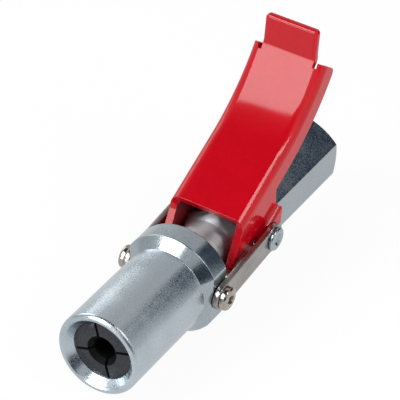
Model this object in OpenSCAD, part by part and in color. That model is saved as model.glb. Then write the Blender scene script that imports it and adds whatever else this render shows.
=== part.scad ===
// Lock-on grease coupler: lever-opened jaws on a hex body, modelled as separate pieces.
// Millimetres. +Y runs along the body towards the hose, the nozzle points to -Y, the lever is at +Z.
// The origin is the centre of the inlet face. "Station" is the distance behind the nozzle's front.

/* [Body] */
// hexagon across flats (spanner size)
hex_af = 16; // [15.5:0.1:16.5]
// length of the hexagon
hex_length = 52.4; // [49:0.2:56]
// diameter of the round stem that guides the sleeve
stem_d = 15.4; // [15:0.1:15.6]
// length of stem left bare between the collar and the hexagon
stem_bare = 11.4; // [10.8:0.2:13]
// diameter of the neck inside the main spring
neck_d = 10.4; // [10:0.1:10.8]
// diameter of the spigot that carries the jaws
spigot_d = 8.2; // [8:0.1:8.4]
// grease passage
passage_d = 3.2; // [2.6:0.1:3.4]
// turned chamfer on both ends of the hexagon
hex_chamfer = 1.1; // [0.8:0.1:1.4]

/* [Inlet] */
// core diameter of the M10x1 inlet thread
inlet_d = 8.92; // [8.6:0.02:9.2]
// depth of the inlet thread
inlet_depth = 9.4; // [8.6:0.2:11]
// diameter of the check valve's seat plug
seat_d = 7.2; // [7:0.1:7.6]
// length of the seat plug
seat_length = 2.4; // [2.2:0.1:3]
// check ball
ball_d = 4; // [3.8:0.1:4.2]
// length of the chamber of the ball and its spring
chamber_length = 6.6; // [6.2:0.1:8]
// wire of the check spring
check_wire = 0.4; // [0.34:0.02:0.46]

/* [Sleeve] */
// diameter of the sleeve's barrel
sleeve_d = 21.6; // [21:0.1:22.4]
// length of the barrel, nozzle front to the collar's chamfer
barrel_length = 30.2; // [29.6:0.2:32]
// diameter of the collar
collar_d = 26.6; // [26:0.1:27.6]
// straight length of the collar
collar_width = 5.8; // [5.4:0.1:6.6]
// radius of the rounded front rim
rim_r = 1.1; // [0.8:0.1:1.3]
// bore behind the jaw cone
throat_d = 12.7; // [12.6:0.1:13]
// half angle of the cone that closes the jaws
cone_angle = 20; // [19:0.5:21]
// depth of the jaws behind the nozzle front
jaw_recess = 2.2; // [2:0.1:2.6]
// station of the step that carries the main spring
spring_step = 20; // [20:0.1:20.6]
// length between the spring step and the stem
spring_room = 13; // [12.4:0.1:13.4]

/* [Jaws] */
// outer diameter at the jaws' front
jaw_d = 15.1; // [14.9:0.1:15.3]
// width of the slots between the jaws
jaw_slot = 0.7; // [0.6:0.05:0.9]
// angle of the first slot, from +X towards +Z
slot_angle = 18; // [0:1:44]
// bore of the lip that grips the nipple's neck
lip_d = 5.6; // [5.4:0.05:5.8]
// length of the lip
lip_length = 1.3; // [1.1:0.1:1.5]
// bore of the pocket for the nipple's head
head_d = 6.9; // [6.7:0.05:7.1]
// wire of the ring around the jaws' tails
ring_wire = 0.9; // [0.8:0.05:0.95]

/* [Nozzle seal] */
// thickness of the rubber seal
seal_length = 2.8; // [2.6:0.1:3]
// grease hole of the seal and its holder
seal_hole_d = 2.2; // [1.8:0.1:2.4]
// stroke that the holder gives way when a nipple is pushed in
seal_stroke = 1.5; // [1.3:0.05:1.6]
// bore for the holder's stem
holder_bore_d = 5; // [4.8:0.05:5.2]
// wire of the seal spring
seal_wire = 0.7; // [0.6:0.05:0.75]

/* [Main spring] */
// wire of the main spring
main_wire = 1.8; // [1.5:0.05:1.9]
// number of turns
main_turns = 5; // [4.5:0.25:5.5]
// thickness of the spring washer
washer_t = 0.8; // [0.6:0.1:1]

/* [Lever] */
// sheet thickness
sheet = 2; // [1.8:0.1:2.2]
// depth of the channel's flanges
channel_depth = 7.2; // [6.8:0.1:7.8]
// outside radius of the channel's folds
fold_r = 2.6; // [2.4:0.1:3]
// angle of the straight part with the body
lever_angle = 27.4; // [26:0.2:29]
// length of the straight part
lever_straight = 19.5; // [19:0.1:21]
// radius of the curved part, on the top face
lever_bend_r = 48; // [44:1:54]
// angle of the curved part
lever_bend = 30; // [27:1:32]
// width of the thumb tab
tab_width = 14.4; // [13.6:0.2:15]
// height of the thumb tab above the channel's end
tab_height = 8.4; // [7:0.2:10]
// outward joggle of the ears
joggle = 1.5; // [1.4:0.05:1.7]

/* [Links and pins] */
// thickness of the links
link_t = 1.5; // [1.3:0.05:1.7]
// half width of the links
link_half = 3.35; // [3.2:0.05:3.5]
// shank diameter of the link screws
screw_d = 3.5; // [3.3:0.05:3.7]
// head diameter of the link screws
screw_head_d = 6; // [5.8:0.1:6.4]
// head height of the link screws
screw_head_h = 1.7; // [1.5:0.05:1.9]
// shank diameter of the link rivets
rivet_d = 4; // [3.8:0.05:4.1]
// head diameter of the link rivets
rivet_head_d = 6.1; // [5.8:0.1:6.4]
// head height of the link rivets
rivet_head_h = 1; // [0.8:0.05:1.2]
// shank diameter of the pivot studs
stud_d = 3.5; // [3.3:0.05:3.7]

/* [Clearances] */
// sleeve on stem, radial
slide_gap = 0.08; // [0.06:0.01:0.1]
// pins in moving holes, radial
pin_gap = 0.05; // [0.03:0.01:0.08]
// pins and plugs in their own holes, radial
fit_gap = 0.02; // [0.01:0.01:0.03]
// lever flanges beside the hexagon
side_gap = 0.1; // [0.08:0.01:0.14]
// links beside the collar's flats and the ears
link_gap = 0.15; // [0.1:0.01:0.2]
// jaws inside the sleeve's cone
cone_gap = 0.1; // [0.08:0.01:0.12]
// play of the rivets in the links, which lets the linkage run
play = 0.35; // [0.3:0.01:0.4]

/* [Hidden] */
$fn = 96;
e = 0.01;
lap = 0.02;

// stations along the axis
collar_start = barrel_length + (collar_d - sleeve_d) / 2;
collar_end = collar_start + collar_width;
screw_st = collar_start + collar_width / 2;
stem_start = spring_step + spring_room;
hex_start = collar_end + stem_bare;
total = hex_start + hex_length;
inlet_start = total - inlet_depth;
seat_start = inlet_start - seat_length;
chamber_start = seat_start - chamber_length;

// radii
sleeve_r = sleeve_d / 2;
collar_r = collar_d / 2;
stem_r = stem_d / 2;
bore_r = stem_r + slide_gap;
throat_r = throat_d / 2;
neck_r = neck_d / 2;
spigot_r = spigot_d / 2;
passage_r = passage_d / 2;
hex_r = hex_af / sqrt(3);
jaw_r = jaw_d / 2;
cone_r = jaw_r + cone_gap;
cone_length = (cone_r - throat_r) / tan(cone_angle);
tail_r = throat_r - 0.45;
tail_start = jaw_recess + (jaw_r - tail_r) / tan(cone_angle);
tail_end = spring_step - fit_gap;

// jaw hook, which sits in the spigot's groove
hook_end = tail_end - 1.4;
hook_start = hook_end - 1.7;
hook_groove_r = spigot_r - 0.9;
hook_r = hook_groove_r + 0.15;
spigot_start = hook_start - 2.1;
jaw_bore_r = spigot_r + 0.15;
lip_start = jaw_recess + 1.1;
lip_end = lip_start + lip_length;
pocket_start = lip_end + 0.6;

// nozzle seal and its holder
holder_back = spigot_start - seal_stroke;
seal_back = holder_back - 1.8;
seal_front = seal_back - seal_length;
pocket_end = seal_front - 0.1 - (jaw_bore_r - head_d / 2) * 0.6;
seal_r = jaw_bore_r - 0.15;
holder_bore_r = holder_bore_d / 2;
holder_r = holder_bore_r - pin_gap;
holder_end = spigot_start + 9.2;
holder_bore_end = holder_end + 6;
holder_ring_r = 0.38;
holder_ring_st = holder_end - 2;

// rings and springs
stem_ring_r = 0.74;
stem_ring_st = stem_start + 3;
ring_r = ring_wire / 2;
ring_st = tail_end - 0.95;
ring_mean_r = tail_r - 0.35;
washer_st = spring_step + fit_gap;
main_r = (bore_r + neck_r) / 2;
seal_spring_r = holder_bore_r - seal_wire / 2 - 0.2;

// check valve: the ball rests on a 45 degree seat
ball_r = ball_d / 2;
seat_hole_r = ball_r * 0.65;
seat_mouth_r = ball_r * 0.95;
ball_st = seat_start + seat_mouth_r - ball_r * sqrt(2) - fit_gap;
chamber_r = ball_r + 0.9;
check_r = ball_r * 0.8;
check_end = ball_st - sqrt(ball_r * ball_r - pow(check_r, 2)) - 0.25;

// layers across the lever and links
flat_x = hex_af / 2;
flange_in = flat_x + side_gap;
flange_out = flange_in + sheet;
ear_in = flange_in + joggle;
ear_out = ear_in + sheet;
link_in = ear_out + link_gap;
link_out = link_in + link_t;
head_in = link_out + pin_gap;

// pivots, as [station, height]
pivot = [hex_start + 3.5, -2.2];
rivet = pivot + [6.1, 5];
screw = [screw_st, 0];
rivet_inner_r = rivet_d / 2 + 0.5;
link_length = norm(rivet - screw);
link_angle = atan2(rivet[1] - screw[1], rivet[0] - screw[0]);

// lever: origin on the top face at the front, then the centre of the curved part
lever_o = pivot + [-5.3, 15.2];
along = [cos(lever_angle), sin(lever_angle)];
up = [-sin(lever_angle), cos(lever_angle)];
bend_o = lever_o + lever_straight * along + lever_bend_r * up;
tip_angle = lever_angle + lever_bend;
tip = bend_o + lever_bend_r * [sin(tip_angle), -cos(tip_angle)];
crease = -11.4;
crease_fall = 1.4;
ear_back = rivet[0] + 6.1;

red = [0.78, 0.04, 0.10];
zinc = [0.70, 0.74, 0.77];
black = [0.22, 0.22, 0.23];
steel = [0.66, 0.64, 0.62];
nickel = [0.78, 0.75, 0.70];
rubber = [0.10, 0.10, 0.11];
wire = [0.45, 0.46, 0.48];

// a point of the lever's side view: s along the straight part, n up from its top face
function lever_at(s, n) = lever_o + s * along + n * up;

// points of an arc in the profile of a turned piece
function arc(c, r, a0, a1, n = 8) =
  [for (i = [0:n]) c + r * [cos(a0 + (a1 - a0) * i / n), sin(a0 + (a1 - a0) * i / n)]];

// moves a piece drawn in stations into the part's frame
module placed() translate([0, -total, 0]) children();

// turns a profile of [radius, station] points about the body's axis
module turned(points) rotate([-90, 0, 0]) rotate_extrude() polygon(points);

// straight bore along the body's axis
module bore(r, a, b) translate([0, a, 0]) rotate([-90, 0, 0]) cylinder(r = r, h = b - a);

// ring of round section about the body's axis
module o_ring(mean, r, st) translate([0, st, 0]) rotate([-90, 0, 0])
  rotate_extrude() translate([mean, 0]) circle(r = r, $fn = 32);

// plate of the side view, drawn in [station, height], between two distances from the middle
module plate(x0, x1) translate([x0, 0, 0]) rotate([90, 0, 90]) linear_extrude(x1 - x0) children();

// turns a profile of [radius, x] points about a cross axis at a point of the side view
module cross_turned(at, points) translate([0, at[0], at[1]]) rotate([0, 90, 0])
  rotate_extrude() polygon(points);

// the other side's copy
module left_side() mirror([1, 0, 0]) children();

// compression spring between stations a and b, with one closed coil at each end
module spring(mean, w, a, b, turns, sides = 8, steps = 20) {
  n = ceil(turns * steps);
  r = w / 2;
  first = a + r;
  span = b - a - w;
  closed = min(w * 1.06, span / turns);
  open = (span - 2 * closed) / (turns - 2);
  points = [for (i = [0:n], j = [0:sides - 1])
    let (t = turns * i / n, q = 360 * t, p = 360 * j / sides,
      y = t < 1 ? closed * t : t > turns - 1 ? span - closed * (turns - t) : closed + open * (t - 1),
      m = mean + r * cos(p))
    [m * cos(q), first + y + r * sin(p), m * sin(q)]];
  walls = [for (i = [0:n - 1], j = [0:sides - 1], k = [0, 1])
    let (c = i * sides, d = (i + 1) * sides, h = (j + 1) % sides)
    k == 0 ? [c + j, c + h, d + j] : [c + h, d + h, d + j]];
  front = [[for (j = [0:sides - 1]) sides - 1 - j]];
  back = [[for (j = [0:sides - 1]) n * sides + j]];
  polyhedron(points, concat(walls, front, back));
}

module hexagon() {
  intersection() {
    translate([0, hex_start, 0]) rotate([-90, 0, 0]) rotate([0, 0, 30])
      cylinder(r = hex_r, h = hex_length, $fn = 6);
    turned([[0, hex_start], [flat_x - 0.35, hex_start], [hex_r + 0.05, hex_start + hex_chamfer],
      [hex_r + 0.05, total - hex_chamfer], [flat_x - 0.35, total], [0, total]]);
  }
}

module coupler_body() color(zinc) placed() difference() {
  union() {
    hexagon();
    turned([[0, spigot_start], [spigot_r - 0.3, spigot_start], [spigot_r, spigot_start + 0.3],
      [spigot_r, hook_start - 0.3], [hook_groove_r, hook_start - 0.3],
      [hook_groove_r, hook_end + 0.3], [spigot_r, hook_end + 0.3], [spigot_r, tail_end + 0.5],
      [neck_r, tail_end + 0.5], [neck_r, stem_start], [stem_r - 0.4, stem_start],
      [stem_r, stem_start + 0.4], [stem_r, hex_start + 1], [0, hex_start + 1]]);
  }
  // groove of the stem's ring
  turned([[bore_r - stem_ring_r * 2 - 0.04, stem_ring_st - 0.85],
    [stem_r + 1, stem_ring_st - 0.85], [stem_r + 1, stem_ring_st + 0.85],
    [bore_r - stem_ring_r * 2 - 0.04, stem_ring_st + 0.85]]);
  bore(holder_bore_r, spigot_start - 1, holder_bore_end);
  bore(passage_r, holder_bore_end - 1, chamber_start + 1);
  bore(chamber_r, chamber_start, seat_start + e);
  bore(seat_d / 2 + fit_gap, seat_start, inlet_start + e);
  bore(inlet_d / 2, inlet_start, total + 1);
  // blind holes of the pivot studs
  for (s = [0, 1]) mirror([s, 0, 0])
    cross_turned(pivot, [[0, flat_x / 2], [stud_d / 2 + fit_gap, flat_x / 2],
      [stud_d / 2 + fit_gap, flat_x + 1], [0, flat_x + 1]]);
}

module outer_sleeve() color(zinc) placed() difference() {
  turned(concat(
    [[throat_r, spring_step], [throat_r, jaw_recess + cone_length], [cone_r, jaw_recess],
      [cone_r + 0.1, jaw_recess - 0.2]],
    arc([sleeve_r - rim_r - 0.4, 0.75], 0.75, 195, 270, 4),
    arc([sleeve_r - rim_r, rim_r], rim_r, 270, 360),
    [[sleeve_r, barrel_length], [collar_r, collar_start], [collar_r, collar_end - 0.4],
      [collar_r - 0.4, collar_end], [bore_r + 0.4, collar_end], [bore_r, collar_end - 0.4],
      [bore_r, spring_step]]));
  for (s = [0, 1]) mirror([s, 0, 0]) {
    // flat that the link lies against
    translate([ear_out, collar_start - 4, -collar_r]) cube([collar_r, collar_width + 5, 2 * collar_r]);
    // hole of the link screw
    cross_turned(screw, [[0, bore_r - 1], [screw_d / 2 + fit_gap, bore_r - 1],
      [screw_d / 2 + fit_gap, collar_r + 1], [0, collar_r + 1]]);
  }
}

// one of the four jaws; i counts them from the first slot
module jaw(i) color(black) placed() intersection() {
  difference() {
    turned([[lip_d / 2 + 1.15, jaw_recess], [jaw_r - 0.35, jaw_recess],
      [jaw_r, jaw_recess + 0.2], [tail_r, tail_start], [tail_r, tail_end], [jaw_bore_r, tail_end],
      [jaw_bore_r, hook_end], [hook_r, hook_end], [hook_r, hook_start], [jaw_bore_r, hook_start],
      [jaw_bore_r, seal_front - 0.1], [head_d / 2, pocket_end], [head_d / 2, pocket_start],
      [lip_d / 2, lip_end], [lip_d / 2, lip_start]]);
    o_ring(ring_mean_r, ring_r + fit_gap, ring_st);
  }
  rotate([0, -slot_angle - 90 * i, 0]) translate([jaw_slot / 2, 0, jaw_slot / 2])
    cube([jaw_r + 1, tail_end + 1, jaw_r + 1]);
}

module jaw_1() jaw(0);
module jaw_2() jaw(1);
module jaw_3() jaw(2);
module jaw_4() jaw(3);

module jaw_ring() color(rubber) placed() o_ring(ring_mean_r, ring_r, ring_st);

module nozzle_seal() color(rubber) placed()
  turned([[seal_hole_d / 2 + 0.6, seal_front], [seal_r - 0.5, seal_front], [seal_r, seal_front + 0.5],
    [seal_r, seal_back], [seal_hole_d / 2, seal_back], [seal_hole_d / 2, seal_front + 0.6]]);

module seal_holder() color(nickel) placed() difference() {
  turned([[seal_hole_d / 2, seal_back + fit_gap], [seal_r, seal_back + fit_gap], [seal_r, holder_back],
    [holder_r, holder_back], [holder_r, holder_end], [seal_hole_d / 2, holder_end]]);
  turned([[holder_bore_r - holder_ring_r * 2 - 0.02, holder_ring_st - 0.45],
    [holder_r + 1, holder_ring_st - 0.45], [holder_r + 1, holder_ring_st + 0.45],
    [holder_bore_r - holder_ring_r * 2 - 0.02, holder_ring_st + 0.45]]);
}

module seal_holder_o_ring() color(rubber) placed()
  o_ring(holder_bore_r - holder_ring_r - 0.01, holder_ring_r, holder_ring_st);

module seal_spring() color(wire) placed()
  spring(seal_spring_r, seal_wire, holder_end + fit_gap, holder_bore_end - fit_gap, 5);

module main_spring() color(wire) placed()
  spring(main_r, main_wire, washer_st + washer_t + fit_gap, stem_start - fit_gap, main_turns, 10, 24);

module main_spring_washer() color(steel) placed()
  turned([[neck_r + 0.15, washer_st], [bore_r - 0.08, washer_st], [bore_r - 0.08, washer_st + washer_t],
    [neck_r + 0.15, washer_st + washer_t]]);

module stem_o_ring() color(rubber) placed()
  o_ring(bore_r - stem_ring_r - 0.02, stem_ring_r, stem_ring_st);

module check_ball() color(steel) placed() translate([0, ball_st, 0]) sphere(r = ball_r);

module check_spring() color(wire) placed()
  spring(check_r - check_wire / 2, check_wire, chamber_start + fit_gap, check_end, 6);

module check_seat() color(nickel) placed()
  turned([[seat_mouth_r, seat_start + fit_gap], [seat_d / 2, seat_start + fit_gap],
    [seat_d / 2, inlet_start - fit_gap], [seat_hole_r, inlet_start - fit_gap],
    [seat_hole_r, seat_start + seat_mouth_r - seat_hole_r]]);

// section of the channel: x across, n up from the top face
module channel_section(half, depth, r) {
  translate([-half, -depth]) square([2 * half, depth - r]);
  translate([r - half, -depth]) square([2 * (half - r), depth]);
  for (s = [-1, 1]) translate([s * (half - r), -r]) circle(r = r, $fn = 48);
}

// the folded sheet; c draws it thinner all round, so that one run can end inside the next
module channel(c = 0) difference() {
  translate([0, -c]) channel_section(flange_out - c, channel_depth - 2 * c, fold_r);
  translate([0, c - sheet]) channel_section(flange_in + c, channel_depth, fold_r - sheet);
}

// side view of a flange: the nose around the pivot and the field above the ear's crease
module flange_side() {
  difference() {
    union() {
      polygon([lever_at(2, -3), lever_at(0.6, -1.6), pivot + [-5.5, 11.4], pivot + [-8.9, 4.4],
        pivot + [-5.9, 2.6], pivot + [0.79, 4.78], lever_at(1.9, crease),
        lever_at(13.1, crease), lever_at(14.6, -channel_depth + 0.4), lever_at(13, -4)]);
      polygon([pivot + [-8.86, 4.3], pivot + [-7.5, -0.2], pivot + [-2.1, -3.4], pivot + [0, 0],
        pivot + [2.6, 2.6], pivot + [0.79, 4.78]]);
      translate(pivot + [-5.9, 2.6]) circle(r = 3.3);
      translate(pivot) circle(r = 4);
    }
    translate(pivot) circle(r = stud_d / 2 + pin_gap);
  }
}

// side view of an ear, below its crease
module ear_side() {
    polygon([lever_at(1.9, crease - crease_fall + 0.02), rivet + [-2.9, -2.6], rivet + [0, -2],
      [ear_back, rivet[1] - 2.6], [ear_back, rivet[1] + 3.9],
      lever_at(12.66, crease - crease_fall + 0.02)]);
    polygon([rivet + [-2.9, -2.6], rivet + [0, -4], [ear_back - 1.4, rivet[1] - 4],
      [ear_back, rivet[1] - 2.6], rivet]);
    translate(rivet) circle(r = 3.65);
}

// slope between the flange and the ear
module joggle_strip() rotate([90, 0, 90]) translate(lever_at(1.9, crease)) rotate([0, 0, lever_angle])
  rotate([0, -90, 0]) mirror([0, 0, 1]) linear_extrude(11.2)
    polygon([[flange_in, 0.3], [flange_out, 0.3], [flange_out, 0], [ear_out, -crease_fall],
      [ear_out, -crease_fall - 0.3], [ear_in, -crease_fall - 0.3], [ear_in, -crease_fall],
      [flange_in, 0]]);

module lever() color(red) placed() difference() {
  union() {
    rotate([90, 0, 90]) translate(lever_o) rotate([0, 0, lever_angle]) rotate([0, 90, 0])
      linear_extrude(lever_straight + 0.4) channel(lap);
    rotate([90, 0, 90]) translate(bend_o) rotate([0, 0, lever_angle - 90])
      rotate_extrude(angle = lever_bend, $fn = 180)
        translate([lever_bend_r, 0]) rotate([0, 0, 90]) channel();
    for (s = [0, 1]) mirror([s, 0, 0]) {
      plate(flange_in, flange_out) flange_side();
      plate(ear_in, ear_out) ear_side();
      joggle_strip();
    }
    // thumb tab, folded upright at the end of the web
    plate(-tab_width / 2, tab_width / 2)
      polygon([tip + [-0.55, -0.85], tip + [0.05, 0.2], tip + [0.15, 0.9],
        tip + [0.15, tab_height - 0.6], tip + [0.75, tab_height], tip + [0.15 + sheet - 0.6, tab_height],
        tip + [0.15 + sheet, tab_height - 0.6], tip + [0.15 + sheet, 0],
        tip + [sheet * sin(tip_angle), -sheet * cos(tip_angle)] + [0, -0.25],
        tip + [sheet * sin(tip_angle), -sheet * cos(tip_angle)] + [-0.55, -0.85]]);
  }
  // rivet holes, spot-faced for the inner heads
  for (s = [0, 1]) mirror([s, 0, 0])
    cross_turned(rivet, [[0, flat_x], [rivet_inner_r + 0.1, flat_x], [rivet_inner_r + 0.1, ear_in],
      [rivet_d / 2 + fit_gap, ear_in], [rivet_d / 2 + fit_gap, ear_out + 1], [0, ear_out + 1]]);
  // relief notches beside the tab
  for (s = [0, 1]) mirror([s, 0, 0])
    translate([tab_width / 2, tip[0], tip[1]]) rotate([tip_angle, 0, 0])
      translate([0, -1.4, -sheet - 0.3]) cube([0.9, 3, sheet + 1]);
}

module pivot_stud() cross_turned(pivot, [[0, flat_x / 2 + 0.1], [stud_d / 2 - 0.4, flat_x / 2 + 0.1],
  [stud_d / 2, flat_x / 2 + 0.5], [stud_d / 2, flange_out + side_gap],
  [stud_d / 2 + 0.95, flange_out + side_gap], [stud_d / 2 + 0.95, flange_out + side_gap + 0.8],
  [stud_d / 2 + 0.65, flange_out + side_gap + 1.1], [0, flange_out + side_gap + 1.1]]);

module pivot_stud_right() color(steel) placed() pivot_stud();
module pivot_stud_left() color(steel) placed() left_side() pivot_stud();

module link() plate(link_in, link_out) difference() {
  union() {
    translate(screw) circle(r = link_half);
    translate(rivet) circle(r = link_half + 0.45);
    translate(screw) rotate([0, 0, link_angle]) translate([0, -link_half])
      square([link_length, 2 * link_half]);
  }
  translate(screw) circle(r = screw_d / 2 + pin_gap);
  translate(rivet) circle(r = rivet_d / 2 + play);
}

module link_right() color(steel) placed() link();
module link_left() color(steel) placed() left_side() link();

module link_screw() difference() {
  cross_turned(screw, concat([[0, bore_r + 0.3], [screw_d / 2 - 0.3, bore_r + 0.3],
    [screw_d / 2, bore_r + 0.6], [screw_d / 2, head_in], [screw_head_d / 2, head_in]],
    arc([screw_head_d / 2 - 0.9, head_in + screw_head_h - 0.9], 0.9, 0, 90, 6),
    [[0, head_in + screw_head_h]]));
  // six-lobe recess
  translate([head_in + screw_head_h - 1, screw[0], screw[1]]) rotate([0, 90, 0]) linear_extrude(2)
    difference() {
      circle(r = 1.45, $fn = 48);
      for (i = [0:5]) rotate([0, 0, 60 * i]) translate([1.6, 0]) circle(r = 0.45, $fn = 24);
    }
}

module link_screw_right() color(nickel) placed() link_screw();
module link_screw_left() color(nickel) placed() left_side() link_screw();

module link_rivet() cross_turned(rivet, concat(
  [[0, flange_in + 0.2], [rivet_inner_r - 0.3, flange_in + 0.2],
    [rivet_inner_r, flange_in + 0.5], [rivet_inner_r, ear_in - fit_gap],
    [rivet_d / 2, ear_in - fit_gap], [rivet_d / 2, head_in], [rivet_head_d / 2, head_in]],
  arc([rivet_head_d / 2 - 0.7, head_in + rivet_head_h - 0.7], 0.7, 0, 90, 5),
  [[rivet_head_d / 2 - 1.5, head_in + rivet_head_h], [0.6, head_in + rivet_head_h - 0.7],
    [0, head_in + rivet_head_h - 0.7]]));

module link_rivet_right() color(zinc) placed() link_rivet();
module link_rivet_left() color(zinc) placed() left_side() link_rivet();

coupler_body();
outer_sleeve();
jaw_1();
jaw_2();
jaw_3();
jaw_4();
jaw_ring();
nozzle_seal();
seal_holder();
seal_holder_o_ring();
seal_spring();
main_spring();
main_spring_washer();
stem_o_ring();
check_ball();
check_spring();
check_seat();
lever();
pivot_stud_right();
pivot_stud_left();
link_right();
link_left();
link_screw_right();
link_screw_left();
link_rivet_right();
link_rivet_left();
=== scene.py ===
"""Dresses the grease coupler: smooth turned metal, a folded lacquered lever and real fasteners.

Every length is in millimetres until a mesh is made. A station is the distance behind the nozzle's
front, so a station of LENGTH is the inlet face, where the part's origin lies.
"""
import logging
from dataclasses import dataclass
from enum import Enum
from typing import ClassVar, Sequence

import bmesh
import bpy
import numpy as np
from mathutils import Matrix, Vector


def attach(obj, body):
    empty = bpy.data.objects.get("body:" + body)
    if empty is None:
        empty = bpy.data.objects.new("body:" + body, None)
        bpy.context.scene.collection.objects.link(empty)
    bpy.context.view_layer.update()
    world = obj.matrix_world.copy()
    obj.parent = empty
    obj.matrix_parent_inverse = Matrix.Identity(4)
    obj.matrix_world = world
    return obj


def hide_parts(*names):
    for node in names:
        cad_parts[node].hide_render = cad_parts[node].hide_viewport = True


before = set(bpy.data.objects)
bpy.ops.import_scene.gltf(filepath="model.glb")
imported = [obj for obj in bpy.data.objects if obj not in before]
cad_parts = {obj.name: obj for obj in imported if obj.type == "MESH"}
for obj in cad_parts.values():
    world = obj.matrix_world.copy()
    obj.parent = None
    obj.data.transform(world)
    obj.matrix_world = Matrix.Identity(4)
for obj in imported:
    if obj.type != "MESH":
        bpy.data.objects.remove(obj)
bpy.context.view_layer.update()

MM = 0.001
LENGTH = 102.3
# Points that lie closer together than this are merged.
WELD = 0.002
LOG = logging.getLogger("coupler")

Pair = tuple[float, float]
Triple = tuple[float, float, float]
Profile = Sequence[Triple]


class Axis(Enum):
    """The line that a turned piece is turned about."""

    BODY = "along the body"
    CROSS_RIGHT = "across the body, outwards to the right"
    CROSS_LEFT = "across the body, outwards to the left"


def linear(code: str) -> tuple[float, float, float, float]:
    """Turns an sRGB hex colour into Blender's linear colour, by the standard's curve.

    Args:
        code: the colour as "#RRGGBB".

    Returns:
        Linear red, green and blue, with an alpha of 1.
    """
    srgb = np.array([int(code[i:i + 2], 16) for i in (1, 3, 5)]) / 255.0
    value = np.where(srgb <= 0.04045, srgb / 12.92, ((srgb + 0.055) / 1.055) ** 2.4)
    return (float(value[0]), float(value[1]), float(value[2]), 1.0)


def empty_tree(owner: bpy.types.Material | bpy.types.World) -> bpy.types.NodeTree:
    """Gives a material or world an empty node tree.

    Args:
        owner: the material or world.

    Returns:
        The tree.
    """
    owner.use_nodes = True
    owner.node_tree.nodes.clear()
    return owner.node_tree


def add_node(tree: bpy.types.NodeTree, kind: str, settings: dict, inputs: dict) -> bpy.types.Node:
    """Adds one node, sets it up and links it.

    Args:
        tree: the node tree that gets the node.
        kind: Blender's name of the node type.
        settings: attributes of the node.
        inputs: input name or number, to a socket to link or a value to set.

    Returns:
        The new node.
    """
    node = tree.nodes.new(kind)
    for name, value in settings.items():
        setattr(node, name, value)
    for name, value in inputs.items():
        if isinstance(value, bpy.types.NodeSocket):
            tree.links.new(value, node.inputs[name])
        else:
            node.inputs[name].default_value = value
    return node


@dataclass(frozen=True)
class Finish:
    """A surface finish: two close tones, a gloss range and a fine relief.

    The relief is noise whose grain is given in millimetres along X, Y and Z, so a long grain makes
    brush or lathe marks and an even one makes plating crystals or orange peel. The same noise, mixed
    with wide clouds, moves the tone and the gloss within their ranges. Marks that run around the
    body draw its highlights out along Y, by the share in drawn.
    """

    name: str
    dark: str
    light: str
    metallic: float
    rough_low: float
    rough_high: float
    grain: Triple
    relief: float
    coat: float = 0.0
    specular: float = 0.5
    drawn: float = 0.0

    CLOUD: ClassVar[float] = 9.0
    GRAIN_SHARE: ClassVar[float] = 0.6
    TONE_SPAN: ClassVar[Pair] = (0.32, 0.68)
    GLOSS_SPAN: ClassVar[Pair] = (0.3, 0.7)
    COAT_ROUGH: ClassVar[float] = 0.10

    def material(self) -> bpy.types.Material:
        """Makes the finish as a node material, once.

        Returns:
            The material, named after the finish.
        """
        made = bpy.data.materials.get(self.name)
        if made is not None:
            return made
        made = bpy.data.materials.new(self.name)
        tree = empty_tree(made)
        place = add_node(tree, "ShaderNodeTexCoord", {}, {})
        scale = tuple(1.0 / (g * MM) for g in self.grain)
        fine = add_node(tree, "ShaderNodeMapping", {}, {"Vector": place.outputs["Object"], "Scale": scale})
        grain = add_node(tree, "ShaderNodeTexNoise", {}, {
            "Vector": fine.outputs["Vector"], "Scale": 1.0, "Detail": 3.0, "Roughness": 0.6})
        cloud = add_node(tree, "ShaderNodeTexNoise", {}, {
            "Vector": place.outputs["Object"], "Scale": 1.0 / (self.CLOUD * MM), "Detail": 2.0})
        share = add_node(tree, "ShaderNodeMath", {"operation": "MULTIPLY"}, {
            0: grain.outputs["Fac"], 1: self.GRAIN_SHARE})
        both = add_node(tree, "ShaderNodeMath", {"operation": "MULTIPLY_ADD"}, {
            0: cloud.outputs["Fac"], 1: 1.0 - self.GRAIN_SHARE, 2: share.outputs["Value"]})
        tone = add_node(tree, "ShaderNodeMapRange", {}, {
            "Value": both.outputs["Value"], "From Min": self.TONE_SPAN[0], "From Max": self.TONE_SPAN[1]})
        # The mix node's inputs share their names, so they go by number: share, first and second colour.
        colour = add_node(tree, "ShaderNodeMix", {"data_type": "RGBA"}, {
            0: tone.outputs["Result"], 6: linear(self.dark), 7: linear(self.light)})
        rough = add_node(tree, "ShaderNodeMapRange", {}, {
            "Value": both.outputs["Value"], "From Min": self.GLOSS_SPAN[0], "From Max": self.GLOSS_SPAN[1],
            "To Min": self.rough_low, "To Max": self.rough_high})
        bump = add_node(tree, "ShaderNodeBump", {}, {
            "Height": grain.outputs["Fac"], "Strength": 1.0, "Distance": self.relief * MM})
        length = add_node(tree, "ShaderNodeCombineXYZ", {}, {"Y": 1.0})
        shader = add_node(tree, "ShaderNodeBsdfPrincipled", {}, {
            "Base Color": colour.outputs[2], "Roughness": rough.outputs["Result"],
            "Normal": bump.outputs["Normal"], "Metallic": self.metallic, "Coat Weight": self.coat,
            "Coat Roughness": self.COAT_ROUGH, "Specular IOR Level": self.specular,
            "Anisotropic": self.drawn, "Tangent": length.outputs["Vector"]})
        add_node(tree, "ShaderNodeOutputMaterial", {}, {"Surface": shader.outputs["BSDF"]})
        return made


# Bright zinc plate on turned steel: a cool grey mirror broken up by small crystals. In all three zinc
# finishes the crystals are drawn several times too coarse, so that they show.
ZINC = Finish("zinc_plate_bright", "#9DA9B1", "#BCC6CC", 1.0, 0.14, 0.24, (0.45, 0.45, 0.45), 0.018)
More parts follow.
